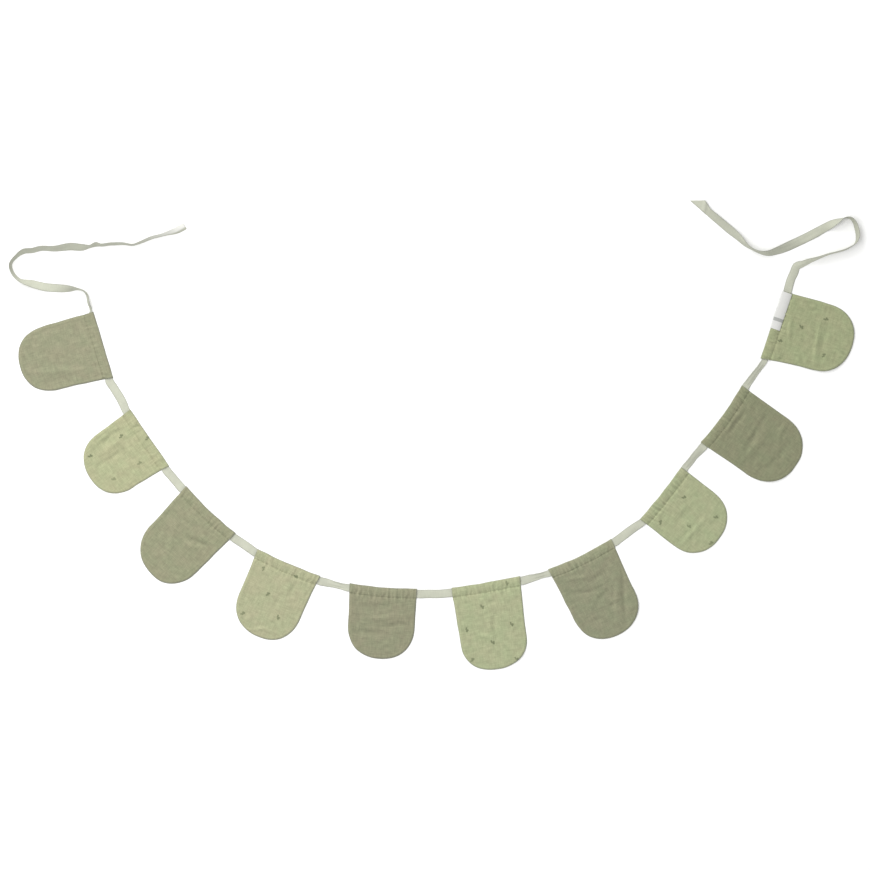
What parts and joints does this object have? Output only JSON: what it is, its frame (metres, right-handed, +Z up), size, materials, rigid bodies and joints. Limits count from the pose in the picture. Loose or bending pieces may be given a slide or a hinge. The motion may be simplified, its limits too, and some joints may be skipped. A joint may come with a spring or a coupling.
{
  "type": "fabric bunting",
  "caption": "Fabric bunting: round-ended muslin flags sewn on one cotton tape with a loose tie at each end, laid flat in a wide U shape.",
  "frame": {"origin": "on the surface it lies on, under the middle of the whole bunting's box", "axes": "+X from the first tie's side to the last tie's side, across the open U; +Y from the bottom of the U towards both ties; +Z up off the surface"},
  "size_m": [1.5309, 0.8453, 0.015],
  "materials": {
    "muslin_sage_1": "matte",
    "muslin_leaf_2": "matte",
    "muslin_sage_3": "matte",
    "muslin_leaf_4": "matte",
    "muslin_sage_5": "matte",
    "muslin_leaf_6": "matte",
    "muslin_sage_7": "matte",
    "muslin_leaf_8": "matte",
    "muslin_sage_9": "matte",
    "muslin_leaf_10": "matte",
    "cotton_tape": "matte",
    "woven_label": "satin"
  },
  "bodies": {
    "root": {"flag_1": "muslin_sage_1", "flag_2": "muslin_leaf_2", "flag_3": "muslin_sage_3", "flag_4": "muslin_leaf_4", "flag_5": "muslin_sage_5", "flag_6": "muslin_leaf_6", "flag_7": "muslin_sage_7", "flag_8": "muslin_leaf_8", "flag_9": "muslin_sage_9", "flag_10": "muslin_leaf_10", "tape": "cotton_tape", "label": "woven_label"}
  },
  "joints": []
}
